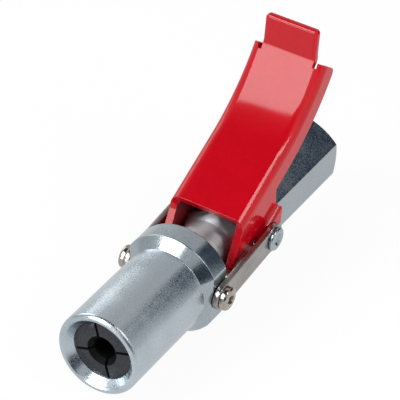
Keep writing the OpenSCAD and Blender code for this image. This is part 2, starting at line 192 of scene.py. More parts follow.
# Zinc plate on the drawn hexagon: the same grey, its gloss uneven from crystal to crystal.
ZINC_HEX = Finish("zinc_plate_mottled", "#9DA8AF", "#BCC5CA", 1.0, 0.06, 0.46, (0.50, 0.50, 0.50), 0.020)
# Zinc plate on the turned barrel: paler, with an uneven gloss that sparkles in the shade.
ZINC_TURNED = Finish("zinc_plate_turned", "#B2BEC7", "#D1DBE2", 1.0, 0.12, 0.44, (0.40, 0.40, 0.40), 0.018)
# Ground and polished steel of the stem: bright, with fine marks around it that draw out its highlights.
POLISHED = Finish("ground_steel_polished", "#CDD3D7", "#E6EAEC", 1.0, 0.36, 0.44, (4.0, 0.25, 4.0), 0.002,
                  drawn=0.9)
# Stoved red lacquer on pressed steel: deep red under a clear gloss with slight orange peel.
RED = Finish("stoved_lacquer_red", "#AA0415", "#B50618", 0.0, 0.30, 0.40, (1.4, 1.4, 1.4), 0.003,
             coat=0.9, specular=0.0)
# Painted shade: the same lacquer, darker and duller, on the sheet's inner face inside the channel.
RED_SHADE = Finish("stoved_lacquer_painted_shade", "#6A0812", "#860A18", 0.0, 0.45, 0.60, (1.4, 1.4, 1.4), 0.006)
# Black oxide on hardened steel: a soft dark sheen.
BLACK = Finish("black_oxide_steel", "#303236", "#4A4C50", 0.8, 0.18, 0.28, (0.5, 0.5, 0.5), 0.003)
# Painted shade: the jaws' oxide, near black and matt, in their bores, so that the lead-in reads as a dark
# hole.
BLACK_BORE_SHADE = Finish("black_oxide_painted_shade", "#0B0B0C", "#141416", 0.0, 0.50, 0.62, (0.5, 0.5, 0.5), 0.003,
                    specular=0.05)
# Rolled stainless sheet: warm grey, brushed along its length.
STAINLESS = Finish("stainless_sheet_brushed", "#989391", "#B2ADAA", 1.0, 0.18, 0.30, (0.4, 5.0, 0.4), 0.004)
# Nickel plate on cold-headed screws: warm and bright.
NICKEL = Finish("nickel_plate_bright", "#A8A19B", "#C2BBB4", 1.0, 0.10, 0.20, (0.5, 0.5, 0.5), 0.004)
# Nitrile rubber: matt black with a faint bloom.
RUBBER = Finish("nitrile_rubber_black", "#131314", "#1F1F21", 0.0, 0.55, 0.72, (0.6, 0.6, 0.6), 0.010)
# Drawn spring wire: a soft grey sheen.
WIRE = Finish("spring_wire_drawn", "#6F7276", "#8C9094", 1.0, 0.28, 0.40, (0.6, 0.6, 0.6), 0.004)
# Dark felt of the cards that the metal mirrors.
FELT = Finish("felt_card_black", "#1A2836", "#293B4C", 0.0, 0.90, 1.00, (1.0, 1.0, 1.0), 0.001)


def rounded(corners: Profile, steps: int = 5) -> np.ndarray:
    """Rounds the corners of a profile: each gets an arc that touches its two sides.

    Args:
        corners: radius, station and rounding of each corner, in order.
        steps: number of steps of each arc.

    Returns:
        An array of radius and station, one row per point.
    """
    # Half the angle between the sides, in radians, from which a corner counts as straight.
    straight = 1.55
    data = np.array(corners, float)
    points = data[:, :2]
    rows = []
    for i, here in enumerate(points):
        size = data[i, 2]
        before = points[i - 1] - here
        after = points[(i + 1) % len(points)] - here
        before /= np.linalg.norm(before)
        after /= np.linalg.norm(after)
        half = np.arccos(np.clip(before @ after, -1.0, 1.0)) / 2.0
        if size <= 0.0 or half > straight:
            rows.append(here[None, :])
            continue
        middle = before + after
        centre = here + middle / np.linalg.norm(middle) * size / np.sin(half)
        start = here + before * size / np.tan(half) - centre
        end = here + after * size / np.tan(half) - centre
        turn = np.arctan2(start[0] * end[1] - start[1] * end[0], start @ end)
        angle = np.arctan2(start[1], start[0]) + turn * np.linspace(0.0, 1.0, steps + 1)
        rows.append(centre + size * np.stack([np.cos(angle), np.sin(angle)], axis=1))
    return np.concatenate(rows)


def grid_faces(rows: int, columns: int, close_rows: bool, close_columns: bool, first: int = 0) -> np.ndarray:
    """Numbers the quads of a grid of points, which are counted row by row.

    Args:
        rows: number of rows of points.
        columns: number of points in a row.
        close_rows: whether the last row joins the first.
        close_columns: whether the last column joins the first.
        first: number of the grid's first point.

    Returns:
        An array of four point numbers per quad.
    """
    i, j = np.meshgrid(np.arange(rows if close_rows else rows - 1),
                       np.arange(columns if close_columns else columns - 1), indexing="ij")
    here = i * columns
    below = (i + 1) % rows * columns
    right = (j + 1) % columns
    quads = np.stack([here + j, here + right, below + right, below + j], axis=-1)
    return quads.reshape(-1, 4) + first


def turned(radius: np.ndarray, along: np.ndarray, axis: Axis, centre: Pair = (0.0, 0.0)) -> np.ndarray:
    """Carries rows of radii around an axis: each row is a ring, its radius given at every angle.

    Args:
        radius: radius of each row at each angle, in mm.
        along: place of each row along the axis: a station, or a distance from the middle plane.
        axis: the axis.
        centre: station and height of a cross axis, unused for the body's own axis.

    Returns:
        Points in metres, as an array of rows, angles and coordinates.
    """
    angle = np.linspace(0.0, 2.0 * np.pi, radius.shape[1], endpoint=False)[None, :]
    a = radius * np.cos(angle)
    b = radius * np.sin(angle)
    line = np.broadcast_to(along[:, None], radius.shape)
    if axis is Axis.BODY:
        points = np.stack([a, line - LENGTH, b], axis=-1)
    else:
        side = 1.0 if axis is Axis.CROSS_RIGHT else -1.0
        points = np.stack([side * line, a + centre[0] - LENGTH, b + centre[1]], axis=-1)
    return points * MM


def dressed(name: str, mesh: bpy.types.Mesh, body: str, nodes: Sequence[str],
            finishes: Sequence[Finish]) -> bpy.types.Object:
    """Makes a mesh a smooth piece of the object that stands for CAD nodes.

    Args:
        name: the piece's name.
        mesh: its mesh.
        body: the body it rides on.
        nodes: the nodes it stands for.
        finishes: its finishes, in the order of its material slots.

    Returns:
        The new object.
    """
    mesh.name = name
    mesh.polygons.foreach_set("use_smooth", np.ones(len(mesh.polygons), bool))
    mesh.materials.clear()
    for finish in finishes:
        mesh.materials.append(finish.material())
    made = bpy.data.objects.new(name, mesh)
    bpy.context.scene.collection.objects.link(made)
    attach(made, body)
    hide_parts(*nodes)
    LOG.info("%s rides on %s", name, body)
    return made


def skin(points: np.ndarray, faces: list) -> bpy.types.Mesh:
    """Makes a mesh, merges its double points and points all faces outwards.

    Args:
        points: its points in metres, in rows of three.
        faces: its faces, as lists of point numbers.

    Returns:
        The new mesh.
    """
    mesh = bpy.data.meshes.new("skin")
    mesh.from_pydata(points.reshape(-1, 3).tolist(), [], faces)
    work = bmesh.new()
    work.from_mesh(mesh)
    bmesh.ops.remove_doubles(work, verts=work.verts, dist=WELD * MM)
    bmesh.ops.recalc_face_normals(work, faces=work.faces)
    work.to_mesh(mesh)
    work.free()
    return mesh


def eased_copy(node: str, body: str, finishes: Sequence[Finish],
               width: float) -> bpy.types.Object:
    """Copies a CAD node, joins its loose triangles and rounds its edges.

    Args:
        node: the CAD node.
        body: the body it rides on.
        finishes: its finishes, in the order of its material slots.
        width: width of the rounding in mm.

    Returns:
        The new piece.
    """
    # Triangles that differ by less than this many degrees become one face.
    same_face = 0.6
    work = bmesh.new()
    work.from_mesh(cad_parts[node].data)
    bmesh.ops.remove_doubles(work, verts=work.verts, dist=WELD * MM)
    bmesh.ops.dissolve_limit(work, angle_limit=np.radians(same_face), verts=work.verts, edges=work.edges)
    bmesh.ops.recalc_face_normals(work, faces=work.faces)
    mesh = bpy.data.meshes.new("eased")
    work.to_mesh(mesh)
    work.free()
    made = dressed(node + "_eased", mesh, body, [node], finishes)
    ease_edges(made, width)
    return made


def face_centres(mesh: bpy.types.Mesh) -> np.ndarray:
    """Lists the middles of a mesh's faces.

    Args:
        mesh: the mesh.

    Returns:
        Points in metres, one row per face.
    """
    centre = np.empty(len(mesh.polygons) * 3)
    mesh.polygons.foreach_get("center", centre)
    return centre.reshape(-1, 3)


def paint_second(mesh: bpy.types.Mesh, chosen: np.ndarray) -> None:
    """Gives the chosen faces of a mesh its second finish, and the others its first."""
    mesh.polygons.foreach_set("material_index", chosen.astype(np.int32))


def paint_before(mesh: bpy.types.Mesh, station: float) -> None:
    """Gives the faces in front of a station the second finish of a mesh."""
    paint_second(mesh, face_centres(mesh)[:, 1] < (station - LENGTH) * MM)


def even_normals(made: bpy.types.Object) -> None:
    """Keeps large faces flat beside their small roundings, by weighting normals with the faces' areas.

    Args:
        made: the piece.
    """
    weight = made.modifiers.new("even_normals", "WEIGHTED_NORMAL")
    weight.mode = "FACE_AREA"
    weight.keep_sharp = True


def crisp(made: bpy.types.Object, angle: float) -> None:
    """Keeps edges that turn by more than an angle in degrees crisp, and large faces flat."""
    made.data.set_sharp_from_angle(angle=np.radians(angle))
    even_normals(made)


def ease_edges(made: bpy.types.Object, width: float, weighted: bool = False) -> None:
    """Rounds the sharp edges of a piece.

    Args:
        made: the piece.
        width: width of the rounding in mm.
        weighted: whether each edge carries its own share of the width; otherwise every edge that
            turns by more than a sharp angle gets all of it.
    """
    sharp_angle = 32.0
    bevel = made.modifiers.new("eased_edges", "BEVEL")
    bevel.width = width * MM
    bevel.segments = 3
    bevel.limit_method = "WEIGHT" if weighted else "ANGLE"
    bevel.angle_limit = np.radians(sharp_angle)
    bevel.use_clamp_overlap = not weighted
    bevel.harden_normals = True


def repaint(node: str, finish: Finish) -> None:
    """Gives a CAD node that stays as it is a better finish.

    Args:
        node: the CAD node.
        finish: the finish.
    """
    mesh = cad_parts[node].data
    if not mesh.materials:
        mesh.materials.append(finish.material())
    for i in range(len(mesh.materials)):
        mesh.materials[i] = finish.material()
    LOG.info("%s keeps its solid", node)


@dataclass
class CouplerBody:
    """The hexagon, the polished stem in front of it and the bored inside."""

    across_flats: float = 16.0
    hex_start: float = 49.9
    corner_power: int = 70
    shoulder: float = 4.2
    chamfer: float = 0.92
    cone_drop: float = 0.35
    cone_rise: float = 1.6
    cone_blend: float = 0.05
    stem_r: float = 7.7
    stem_start: float = 33.0
    ring_groove: Pair = (35.15, 36.85)
    ring_groove_r: float = 6.26
    neck_r: float = 5.2
    neck_start: float = 20.48
    spigot_r: float = 4.1
    spigot_start: float = 14.78
    jaw_groove: Pair = (16.58, 18.88)
    jaw_groove_r: float = 3.2
    groove_edge: float = 0.1
    bore_r: float = 2.5
    bore_end: float = 29.98
    passage_r: float = 1.6
    chamber_start: float = 83.9
    chamber_r: float = 2.9
    seat_start: float = 90.5
    seat_r: float = 3.62
    inlet_start: float = 92.9
    inlet_r: float = 4.46
    # Lead-in of the thread: how far over the core, and how far in front of the inlet face.
    lead_in: tuple[Pair, ...] = ((0.95, 0.0), (0.9, 0.03), (0.5, 0.5))
    pitch: float = 1.0
    thread_depth: float = 0.5
    thread_front: float = 0.55
    thread_runout: float = 1.2
    thread_steep: float = 2.6
    thread_flat: float = 0.15
    crisp_angle: float = 34.0
    angles: int = 240
    cone_rows: int = 33
    plain_rows: int = 8
    chamfer_rows: int = 16
    thread_rows: int = 116

    def hexagon(self, station: np.ndarray) -> np.ndarray:
        """Radius of the hexagon with its turned ends.

        The flats are a sixfold p-norm of the distances to the flats, which rounds the corners a
        little. A long cone in front and a short chamfer behind take the corners off, and the smaller
        of flats and cone is taken softly.

        Args:
            station: stations of the rows.

        Returns:
            Radius for each row and angle.
        """
        angle = np.linspace(0.0, 2.0 * np.pi, self.angles, endpoint=False)
        face = np.radians(60.0 * np.arange(6))
        reach = np.clip(np.cos(angle[None, :] - face[:, None]), 0.0, None) ** self.corner_power
        flats = self.across_flats / 2.0 / reach.sum(axis=0) ** (1.0 / self.corner_power)
        rise = np.minimum((station - self.hex_start) / self.shoulder, (LENGTH - station) / self.chamfer)
        cone = self.across_flats / 2.0 - self.cone_drop + self.cone_rise * rise
        soft = self.cone_blend
        return -soft * np.log(np.exp(-flats[None, :] / soft) + np.exp(-cone[:, None] / soft))

    def thread(self, station: np.ndarray) -> np.ndarray:
        """Radius of the inlet thread: a triangle wave with flat tops that climbs one pitch a turn.

        Args:
            station: stations of the rows.

        Returns:
            Radius for each row and angle.
        """
        angle = np.linspace(0.0, 1.0, self.angles, endpoint=False)
        phase = (station[:, None] / self.pitch + angle[None, :]) % 1.0
        wave = np.clip(np.abs(phase - 0.5) * self.thread_steep - self.thread_flat, 0.0, 1.0)
        fade = np.clip((station - self.inlet_start) / self.thread_runout, 0.0, 1.0)[:, None]
        return self.inlet_r + self.thread_depth * wave * fade

    def stem(self) -> np.ndarray:
        """Profile from the spigot's face, over its groove for the jaws and the O-ring's groove.

        Returns:
            An array of radius and station, one row per point, that ends at the hexagon.
        """
        edge = self.groove_edge
        jaws = self.jaw_groove
        ring = self.ring_groove
        return rounded([
            (self.bore_r, self.spigot_start, 0.15), (self.spigot_r, self.spigot_start, 0.3),
            (self.spigot_r, jaws[0], edge), (self.jaw_groove_r, jaws[0], edge),
            (self.jaw_groove_r, jaws[1], edge), (self.spigot_r, jaws[1], edge),
            (self.spigot_r, self.neck_start, edge), (self.neck_r, self.neck_start, 0.2),
            (self.neck_r, self.stem_start, 0.2), (self.stem_r, self.stem_start, 0.4),
            (self.stem_r, ring[0], edge), (self.ring_groove_r, ring[0], edge),
            (self.ring_groove_r, ring[1], edge), (self.stem_r, ring[1], edge),
            (self.stem_r, self.hex_start, 0.0)])

    def hexagon_rows(self) -> np.ndarray:
        """Stations of the hexagon's rows, which lie close together on the front cone and the chamfer.

        The close rows reach a little past the cone and the chamfer, because both blend into the flats.

        Returns:
            The stations, from front to back.
        """
        cone_end = 1.15 * self.shoulder
        chamfer_end = 1.5
        cone = self.hex_start + np.linspace(0.0, cone_end, self.cone_rows)
        plain = np.linspace(self.hex_start + 6.0, LENGTH - 3.0, self.plain_rows)
        close = np.linspace(0.0, chamfer_end, self.chamfer_rows)
        chamfer = np.concatenate([close, [chamfer_end + 0.1, chamfer_end + 0.5]])
        return np.concatenate([cone, plain, LENGTH - chamfer[::-1]])

    def build(self) -> None:
        """Makes the body as one closed surface: outside, inlet face, and back through the bores."""
        ring = np.ones((1, self.angles))
        stem = self.stem()
        run = self.hexagon_rows()
        mouth = np.array(self.lead_in) * [1.0, -1.0] + [self.inlet_r, LENGTH]
        threads = np.linspace(LENGTH - self.thread_front, self.inlet_start, self.thread_rows)
        inside = np.array([
            (self.seat_r, self.inlet_start), (self.seat_r, self.seat_start),
            (self.chamber_r, self.seat_start), (self.chamber_r, self.chamber_start),
            (self.passage_r, self.chamber_start), (self.passage_r, self.bore_end),
            (self.bore_r, self.bore_end)])
        radius = np.concatenate([stem[:, :1] * ring, self.hexagon(run), mouth[:, :1] * ring,
                                 self.thread(threads), inside[:, :1] * ring])
        along = np.concatenate([stem[:, 1], run, mouth[:, 1], threads, inside[:, 1]])
        points = turned(radius, along, Axis.BODY)
        faces = grid_faces(radius.shape[0], self.angles, True, True)
        made = dressed("hex_body", skin(points, faces.tolist()), "body", ["coupler_body"],
                       [ZINC_HEX, POLISHED])
        paint_before(made.data, self.hex_start + self.shoulder)
        crisp(made, self.crisp_angle)


@dataclass
class OuterSleeve:
    """The sliding sleeve: barrel, bevelled mouth, collar with a flat on each side."""

    barrel_r: float = 10.8
    barrel_end: float = 30.2
    rim_round: float = 1.1
    face_r: float = 9.45
    bevel_r: float = 9.05
    bevel_start: float = 0.42
    collar_r: float = 13.3
    collar_start: float = 32.7
    collar_end: float = 38.5
    flat_x: float = 11.6
    bore_r: float = 7.78
    throat_r: float = 6.35
    step: float = 20.0
    cone_r: float = 7.65
    cone_start: float = 2.2
    cone_length: float = 3.57
    crisp_angle: float = 24.0
    angles: int = 288

    def build(self) -> None:
        """Turns the rounded profile about the axis and cuts the collar's flats by limiting x."""
        profile = rounded([
            (self.throat_r, self.step, 0.1), (self.throat_r, self.cone_start + self.cone_length, 0.3),
            (self.cone_r, self.cone_start, 0.15), (self.bevel_r, self.bevel_start, 0.25),
            (self.face_r, 0.0, 0.35), (self.barrel_r, 0.0, self.rim_round),
            (self.barrel_r, self.barrel_end, 0.25), (self.collar_r, self.collar_start, 0.35),
            (self.collar_r, self.collar_end, 0.45), (self.bore_r, self.collar_end, 0.35),
            (self.bore_r, self.step, 0.1)], steps=7)
        radius = profile[:, :1] * np.ones((1, self.angles))
        points = turned(radius, profile[:, 1], Axis.BODY)
        points[..., 0] = np.clip(points[..., 0], -self.flat_x * MM, self.flat_x * MM)
        faces = grid_faces(len(profile), self.angles, True, True)
        made = dressed("barrel_sleeve", skin(points, faces.tolist()), "sleeve", ["outer_sleeve"],
                       [ZINC, ZINC_TURNED])
        paint_before(made.data, self.barrel_end)
        crisp(made, self.crisp_angle)


@dataclass
class Lever:
    """The pressed lever, drawn as the outside skin of the sheet and then given its thickness.

    In the side view a point of the sheet is given by s, the distance along the top face from its
    front edge, and n, the height above that face. Points near the pivot are given from the pivot, as
    station and height.
    """

    sheet: float = 2.0
    half: float = 10.1
    depth: float = 7.2
    fold: float = 2.6
    fold_start: float = 15.6
    angle: float = 27.4
    straight: float = 19.5
    bend_r: float = 48.0
    bend: float = 30.0
    notch: float = 1.4
    straight_points: int = 9
    curve_points: int = 76
    bend_points: int = 7
    tip_r: float = 1.6
    # The lower edge ends at this s. A fillet of s and drop below the edge leads from there to the ear.
    root: float = 15.6
    root_fillet: tuple[Pair, ...] = ((15.0, 0.1), (14.5, 0.45), (14.15, 1.1))
    pivot: Pair = (53.4, -2.2)
    rivet: Pair = (59.5, 2.8)
    ear_r: float = 4.0
    ear_back: float = 6.1
    ear_corner: float = 1.6
    # Offsets from the pivot: the top face's front edge, the rounded corner below it, the flange's
    # front lobe, and the relief cut at the front of the joggle.
    front_edge: Pair = (-5.3, 15.2)
    front_round: tuple[Pair, ...] = ((-5.75, 10.75), (-5.5, 11.3), (-5.35, 11.8))
    lobe: Pair = (-5.9, 2.6)
    lobe_r: float = 3.3
    relief: tuple[Pair, ...] = ((1.3, 5.4), (1.35, 4.95), (1.7, 4.4))
    joggle: float = 1.5
    crease: float = -11.4
    crease_span: Pair = (1.9, 13.1)
    crease_points: int = 13
    fall: float = 1.4
    fall_rows: int = 5
    tab_half: float = 7.2
    tab_height: float = 8.4
    tab_bend_r: float = 1.0
    tab_corner: float = 1.0
    tab_root: float = 1.3
    edge: float = 0.80
    plain_edge_share: float = 0.17

    def at(self, s: np.ndarray, n: np.ndarray) -> np.ndarray:
        """A point of the side view: s along the top face from its front edge, n up from that face.

        The top face is a straight line and then an arc that curves upwards.

        Args:
            s: distance along the top face.
            n: height above it, along its normal.

        Returns:
            Station and height, one row per point.
        """
        s, n = np.broadcast_arrays(np.asarray(s, float), np.asarray(n, float))
        tilt = np.radians(self.angle)
        line = np.array([np.cos(tilt), np.sin(tilt)])
        normal = np.array([-np.sin(tilt), np.cos(tilt)])
        origin = np.array(self.pivot) + self.front_edge
        centre = origin + self.straight * line + self.bend_r * normal
        slope = tilt + np.clip(s - self.straight, 0.0, None) / self.bend_r
        curved = centre + (self.bend_r - n)[..., None] * np.stack([np.sin(slope), -np.cos(slope)], axis=-1)
        back = np.clip(s - self.straight, None, 0.0)[..., None] * line
        return curved + back

    def front(self, n: np.ndarray) -> np.ndarray:
        """Distance along the top face of the front edge, which is upright in the side view."""
        return np.tan(np.radians(self.angle)) * np.asarray(n, float)

    def length(self) -> float:
        """Length of the top face from its front edge to the tab."""
        return self.straight + self.bend_r * np.radians(self.bend)

    def arc(self, centre: Sequence[float], r: float, start: float, end: float, count: int) -> np.ndarray:
        """Points of an arc in the side view, angles in degrees."""
        a = np.radians(np.linspace(start, end, count))
        return np.array(centre) + r * np.stack([np.cos(a), np.sin(a)], axis=1)

    def stations(self) -> np.ndarray:
        """Distances along the top face at which the skin has points.

        Returns:
            The distances, from the front edge to the tab, the last step as long as the notches.
        """
        end = self.length()
        curve = np.linspace(self.straight, end - self.notch, self.curve_points)[1:]
        return np.concatenate([np.linspace(0.0, self.straight, self.straight_points), curve, [end]])

    def flange_outline(self, s: np.ndarray, crease_s: np.ndarray) -> np.ndarray:
        """Outline of a flange from its top front corner round to the front edge.

        Args:
            s: distances of the points of the top edge.
            crease_s: distances of the points of the ear's crease.

        Returns:
            Station and height, one row per point.
        """
        end = self.length()
        pivot = np.array(self.pivot)
        # A quarter turn round the flange's rear end.
        turn = np.linspace(1.57, 0.0, self.bend_points)
        top = self.at(np.concatenate([[self.front(-self.fold)], s[1:]]), -self.fold)
        tip = self.at(end - self.tip_r + self.tip_r * np.sin(turn),
                      -self.depth + self.tip_r - self.tip_r * np.cos(turn))
        lower = self.at(np.linspace(end - self.tip_r, self.root, self.curve_points), -self.depth)
        fillet_s, drop = np.array(self.root_fillet).T
        return np.concatenate([
            top, tip, lower, self.at(fillet_s, -self.depth - drop),
            self.at(crease_s[::-1], self.crease), pivot + self.relief,
            self.arc(pivot, self.ear_r, 40.0, -122.0, 26),
            self.arc(pivot + self.lobe, self.lobe_r, -122.0, -205.0, 14), pivot + self.front_round])

    def ear_outline(self, crease_s: np.ndarray) -> np.ndarray:
        """Outline of an ear below its joggle, from the top front corner along the top and round.

        Args:
            crease_s: distances of the points of the crease.

        Returns:
            Station and height, one row per point.
        """
        corner = np.array(self.rivet) + [self.ear_back - self.ear_corner, self.ear_corner - self.ear_r]
        return np.concatenate([
            self.at(crease_s, self.crease - self.fall),
            self.arc(corner, self.ear_corner, 0.0, -90.0, 8),
            self.arc(self.rivet, self.ear_r, 270.0, 214.0, 10)])

    def side(self, sign: float, s: np.ndarray, first: int) -> tuple[np.ndarray, list]:
        """One flange with its joggle and ear.

        The joggle is a smooth step: the sheet moves outwards by half a cosine as it goes down.

        Args:
            sign: 1 for the right side, -1 for the left.
            s: distances of the points along the top face.
            first: number of the first new point.

        Returns:
            Points in mm as x, station and height, and the faces.
        """
        crease_s = np.linspace(*self.crease_span, self.crease_points)
        flange = self.flange_outline(s, crease_s)
        ear = self.ear_outline(crease_s)
        t = np.linspace(0.0, 1.0, self.fall_rows)
        rows = self.at(crease_s[None, :], (self.crease - self.fall * t)[:, None])
        out = self.half + self.joggle * (0.5 - 0.5 * np.cos(np.pi * t))
        strip = np.concatenate([np.broadcast_to(out[:, None, None], rows.shape[:2] + (1,)), rows], axis=-1)
        flat = np.column_stack([np.full(len(flange), self.half), flange])
        low = np.column_stack([np.full(len(ear), self.half + self.joggle), ear])
        points = np.concatenate([flat, low, strip.reshape(-1, 3)]) * [sign, 1.0, 1.0]
        ear_first = first + len(flat)
        strip_first = ear_first + len(low)
        faces = [list(range(first, ear_first)), list(range(ear_first, strip_first))]
        faces += grid_faces(self.fall_rows, self.crease_points, False, False, strip_first).tolist()
        return points, faces

    def tab_lines(self) -> np.ndarray:
        """Distances from the middle plane of the four lines that web and tab share."""
        return self.tab_half * np.linspace(-1.0, 1.0, 4)

    def web(self, s: np.ndarray) -> tuple[np.ndarray, list]:
        """The top face with a fold along each side and a notch beside the tab's root.

        Each row crosses the sheet: an arc up the left fold, four lines over the flat, and an arc
        down the right fold.

        Args:
            s: distances of the rows along the top face.

        Returns:
            Points in mm as x, station and height, and the faces.
        """
        bend = np.radians(np.linspace(self.fold_start, 90.0, self.bend_points))
        out = self.half - self.fold + self.fold * np.sin(bend)
        down = -self.fold * (1.0 - np.cos(bend))
        lines = self.tab_lines()
        x = np.concatenate([-out[::-1], lines, out])
        n = np.concatenate([down[::-1], np.zeros(len(lines)), down])
        along = np.broadcast_to(s[:, None], (len(s), len(n))).copy()
        along[0] = self.front(n)
        view = self.at(along, n[None, :])
        points = np.concatenate([np.broadcast_to(x[None, :, None], view.shape[:2] + (1,)), view], axis=-1)
        columns = len(x)
        quads = grid_faces(len(s), columns, False, False)
        row, column = np.divmod(quads[:, 0], columns)
        beside = [len(bend) - 1, columns - len(bend) - 1]
        notch = (row == len(s) - 2) & np.isin(column, beside)
        return points.reshape(-1, 3), quads[~notch].tolist()

    def tab(self, first: int) -> tuple[np.ndarray, list]:
        """The thumb tab: a short bend to the upright, then a flat face with round top corners.

        Args:
            first: number of the first new point.

        Returns:
            Points in mm as x, station and height, and the faces.
        """
        start = self.at(self.length(), 0.0)
        slope = np.radians(self.angle + self.bend)
        turn = np.linspace(slope, np.pi / 2.0, 4)
        line = start + self.tab_bend_r * np.stack([np.sin(turn) - np.sin(slope),
                                                   np.cos(slope) - np.cos(turn)], axis=1)
        x = self.tab_lines()
        bend = np.column_stack([np.tile(x, len(line)), np.repeat(line, len(x), axis=0)])
        side = self.tab_half - self.tab_corner
        top = start[1] + self.tab_height - self.tab_corner
        foot = np.array([[self.tab_half, start[1] + self.tab_root]])
        edge = np.concatenate([foot, self.arc((side, top), self.tab_corner, 0.0, 90.0, 5),
                               self.arc((-side, top), self.tab_corner, 90.0, 180.0, 5), foot * [-1.0, 1.0]])
        face = np.column_stack([edge[:, 0], np.full(len(edge), line[-1, 0]), edge[:, 1]])
        faces = grid_faces(len(line), len(x), False, False, first).tolist()
        last = first + len(bend)
        faces.append(list(range(last - len(x), last + len(edge))))
        return np.concatenate([bend, face]), faces

    def face_outwards(self, mesh: bpy.types.Mesh) -> None:
        """Turns the skin over if its web faces down, and says how far each free edge is rounded.

        An open sheet has no outside, so the web's direction decides. Only the tab, which a thumb presses,
        is rounded in full; the other free edges get a small share.

        Args:
            mesh: the skin.
        """
        slack = 0.01
        work = bmesh.new()
        work.from_mesh(mesh)
        tilt = sum(f.normal.z * f.calc_area() for f in work.faces)
        if tilt < 0.0:
            bmesh.ops.reverse_faces(work, faces=work.faces)
        share = work.edges.layers.float.new("bevel_weight_edge")
        root = (self.at(self.length(), 0.0)[1] + self.tab_root - slack) * MM
        for edge in work.edges:
            if edge.is_boundary:
                on_tab = min(v.co.z for v in edge.verts) > root
                edge[share] = 1.0 if on_tab else self.plain_edge_share
        work.to_mesh(mesh)
        work.free()

    def build(self) -> None:
        """Makes the skin, thickens it inwards and rounds its edges."""
        s = self.stations()
        points, faces = self.web(s)
        for sign in (1.0, -1.0):
            more, extra = self.side(sign, s, len(points))
            points = np.concatenate([points, more])
            faces += extra
        more, extra = self.tab(len(points))
        points = np.concatenate([points, more])
        faces += extra
        points = (points - [0.0, LENGTH, 0.0]) * MM
        made = dressed("pressed_lever", skin(points, faces), "lever", ["lever"], [RED, RED_SHADE])
        self.face_outwards(made.data)
        wall = made.modifiers.new("sheet", "SOLIDIFY")
        wall.thickness = self.sheet * MM
        wall.offset = -1.0
        wall.use_even_offset = True
        # The inner shell takes the second finish, the darker lacquer of painted shade inside the channel.
        wall.material_offset = 1
        ease_edges(made, self.edge, weighted=True)
        even_normals(made)


